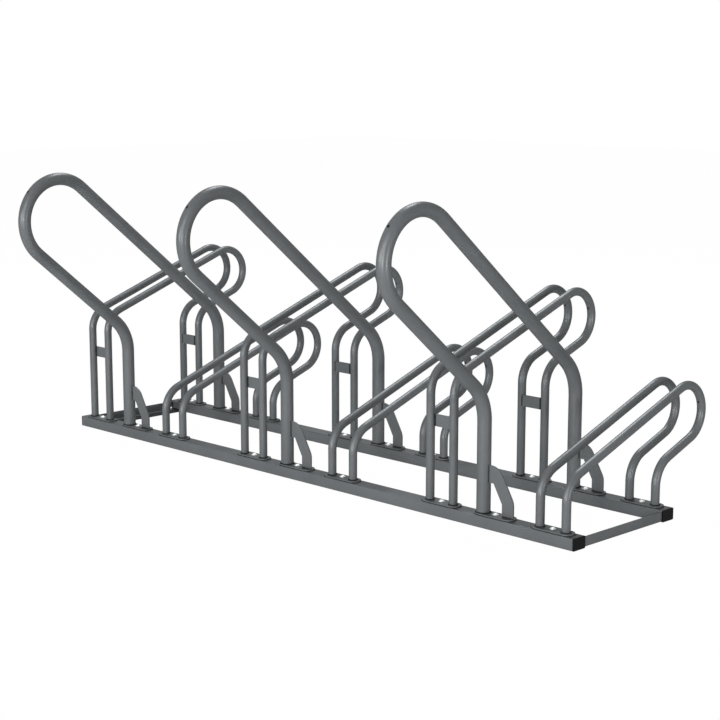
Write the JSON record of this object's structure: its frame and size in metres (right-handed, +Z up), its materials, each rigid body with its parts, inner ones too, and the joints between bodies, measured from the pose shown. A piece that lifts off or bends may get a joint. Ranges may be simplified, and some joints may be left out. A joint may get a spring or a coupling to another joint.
{
  "type": "floor bike rack",
  "caption": "Low steel floor rack for bicycles: high and low wheel holders of bent tube and taller slanting lean hoops, on two box rails.",
  "frame": {"origin": "middle of the base on the floor, halfway between the rails and between the ends", "axes": "+X along the row of wheel places, +Y from the front rail to the rear rail, +Z up"},
  "size_m": [1.905, 0.9119, 0.7952],
  "materials": {
    "grey_coated_steel": "satin grey powder coat",
    "zinc_steel": "bright zinc plate",
    "black_plastic": "moulded black plastic"
  },
  "bodies": {
    "root": {"front_rail": "grey_coated_steel", "rear_rail": "grey_coated_steel", "left_cross_angle": "grey_coated_steel", "right_cross_angle": "grey_coated_steel", "front_left_cap": "black_plastic", "front_right_cap": "black_plastic", "rear_left_cap": "black_plastic", "rear_right_cap": "black_plastic", "holder_1_left_tube": "grey_coated_steel", "holder_1_right_tube": "grey_coated_steel", "holder_2_left_tube": "grey_coated_steel", "holder_2_right_tube": "grey_coated_steel", "holder_3_left_tube": "grey_coated_steel", "holder_3_right_tube": "grey_coated_steel", "holder_4_left_tube": "grey_coated_steel", "holder_4_right_tube": "grey_coated_steel", "holder_5_left_tube": "grey_coated_steel", "holder_5_right_tube": "grey_coated_steel", "holder_6_left_tube": "grey_coated_steel", "holder_6_right_tube": "grey_coated_steel", "holder_1_front_foot": "grey_coated_steel", "holder_1_rear_foot": "grey_coated_steel", "holder_2_front_foot": "grey_coated_steel", "holder_2_rear_foot": "grey_coated_steel", "holder_3_front_foot": "grey_coated_steel", "holder_3_rear_foot": "grey_coated_steel", "holder_4_front_foot": "grey_coated_steel", "holder_4_rear_foot": "grey_coated_steel", "holder_5_front_foot": "grey_coated_steel", "holder_5_rear_foot": "grey_coated_steel", "holder_6_front_foot": "grey_coated_steel", "holder_6_rear_foot": "grey_coated_steel", "holder_1_front_bridge": "grey_coated_steel", "holder_1_rear_bridge": "grey_coated_steel", "holder_3_front_bridge": "grey_coated_steel", "holder_3_rear_bridge": "grey_coated_steel", "holder_5_front_bridge": "grey_coated_steel", "holder_5_rear_bridge": "grey_coated_steel", "hoop_1_tube": "grey_coated_steel", "hoop_2_tube": "grey_coated_steel", "hoop_3_tube": "grey_coated_steel", "hoop_1_front_foot": "grey_coated_steel", "hoop_1_rear_foot": "grey_coated_steel", "hoop_2_front_foot": "grey_coated_steel", "hoop_2_rear_foot": "grey_coated_steel", "hoop_3_front_foot": "grey_coated_steel", "hoop_3_rear_foot": "grey_coated_steel", "hoop_1_front_brace": "grey_coated_steel", "hoop_1_rear_brace": "grey_coated_steel", "hoop_2_front_brace": "grey_coated_steel", "hoop_2_rear_brace": "grey_coated_steel", "hoop_3_front_brace": "grey_coated_steel", "hoop_3_rear_brace": "grey_coated_steel", "plate_bolts": "zinc_steel", "bolt_washers": "zinc_steel", "weld_nuts": "zinc_steel"}
  },
  "joints": []
}
